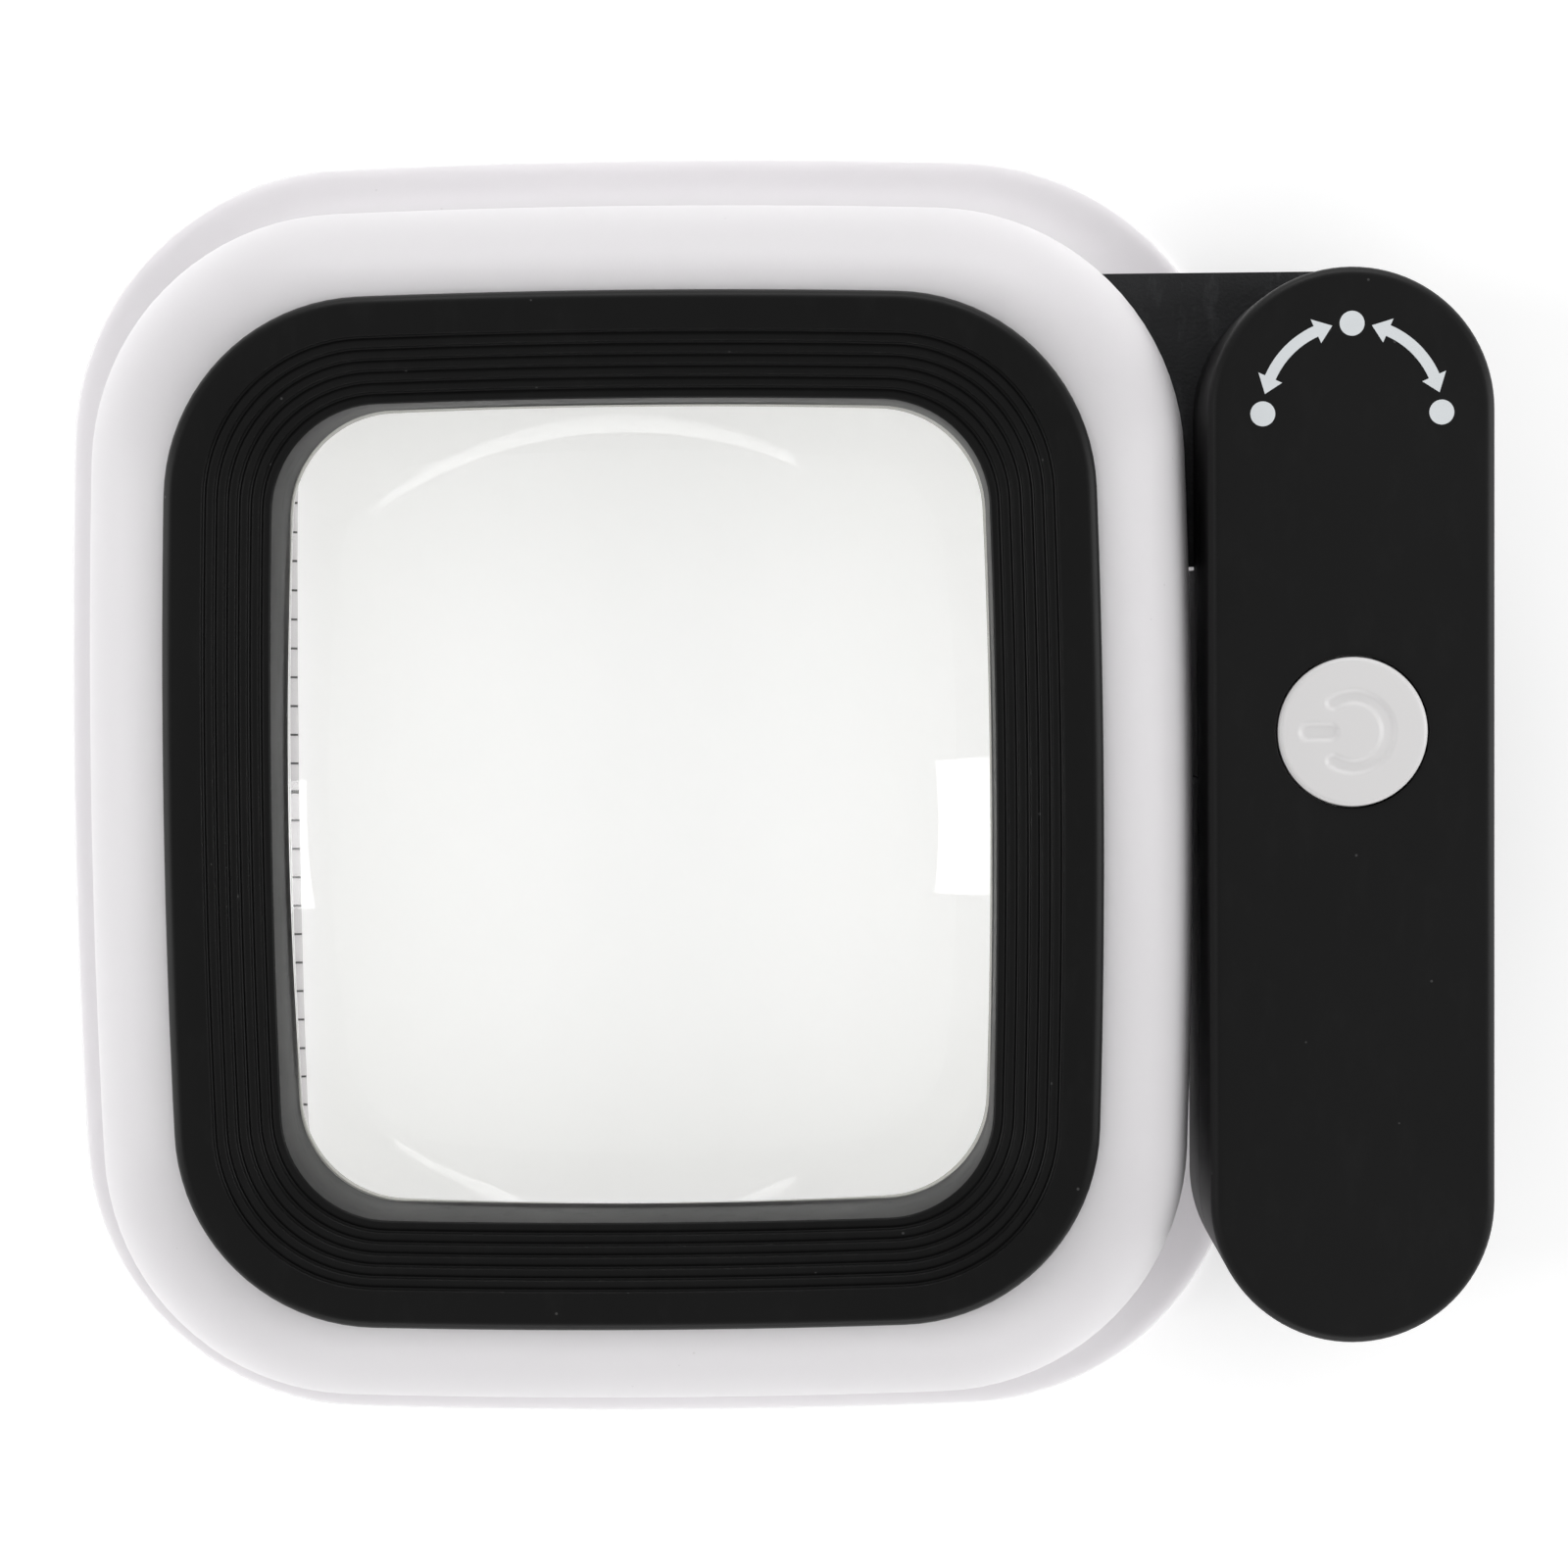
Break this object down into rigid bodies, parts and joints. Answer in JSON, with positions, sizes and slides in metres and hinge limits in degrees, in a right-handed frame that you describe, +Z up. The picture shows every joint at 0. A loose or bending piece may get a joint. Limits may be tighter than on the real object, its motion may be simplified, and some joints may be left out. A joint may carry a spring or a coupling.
{
  "type": "lighted stand magnifier",
  "caption": "Rectangular stand magnifier with a milky flared stand, black ribbed lens frame, page scale and a swivelling battery handle with a white push button.",
  "frame": {"origin": "on the lens axis at the page plane, the level of the rubber feet's undersides", "axes": "+Z up along the lens axis, +X towards the handle's side, +Y towards the pivot end; at rest the handle points to -Y"},
  "size_m": [0.1473, 0.1344, 0.0463],
  "materials": {
    "milky_shell": "satin moulded milky white",
    "tunnel_plastic": "frosted translucent white",
    "black_frame": "fine satin black moulding",
    "black_handle": "fine satin black moulding",
    "bracket_plastic": "coarse textured dark grey moulding",
    "lens_clear": "polished clear acrylic",
    "white_button": "satin white",
    "white_ink": "printed pale grey ink",
    "black_ink": "printed black ink",
    "soft_rubber": "soft grey rubber",
    "zinc_steel": "zinc plated",
    "turned_steel": "turned",
    "spring_steel": "nickel plated spring wire",
    "glide_plastic": "natural nylon",
    "circuit_board": "solder mask over glass laminate",
    "led_package": "moulded package with a pale yellow face",
    "cell_sleeve": "printed metal jacket, plain",
    "contact_plate": "nickel plated strip",
    "cradle_plastic": "moulded black",
    "wire_cover": "soft insulation"
  },
  "bodies": {
    "stand": {"outer_shell": "milky_shell", "bezel": "black_frame", "lens": "lens_clear", "lens_gasket": "soft_rubber", "light_tunnel": "tunnel_plastic", "base_ring": "milky_shell", "rubber_feet": "soft_rubber", "shell_screws": "zinc_steel", "bracket_screws": "zinc_steel", "scale_marks": "black_ink", "led_board": "circuit_board", "leds": "led_package", "bracket": "bracket_plastic", "bracket_cover": "bracket_plastic", "pivot_tube": "turned_steel", "glide_washer": "glide_plastic", "thrust_washer": "turned_steel", "disc_spring": "spring_steel", "pivot_nut": "turned_steel", "stand_leads": "wire_cover"},
    "handle": {"handle_top_shell": "black_handle", "handle_bottom_shell": "black_handle", "handle_screws": "zinc_steel", "lap_screws": "zinc_steel", "battery_cells": "cell_sleeve", "cell_cradle": "cradle_plastic", "contact_plates": "contact_plate", "contact_springs": "spring_steel", "switch_board": "circuit_board", "push_switch": "cradle_plastic", "button_spring": "spring_steel", "board_parts": "cradle_plastic", "handle_leads": "wire_cover", "swivel_print": "white_ink", "detent_ball": "turned_steel", "detent_spring": "spring_steel"},
    "button": {"power_button": "white_button", "switch_plunger": "glide_plastic"},
    "cover": {"battery_cover": "black_handle"}
  },
  "joints": [
    {"name": "handle_swivel", "type": "hinge", "parent": "stand", "child": "handle", "pos_m": [0.06955, 0.03805, 0.0213], "axis": [0, 0, 1], "range_deg": [0, 180]},
    {"name": "button_press", "type": "slide", "parent": "handle", "child": "button", "axis": [0, 0, -1], "range_m": [0, 0.001], "stiffness_N_per_m": 300, "springref_m": -0.002, "deforming": ["button_spring"]},
    {"name": "battery_cover_slide", "type": "slide", "parent": "handle", "child": "cover", "axis": [0, -1, 0], "range_m": [0, 0.055]}
  ]
}
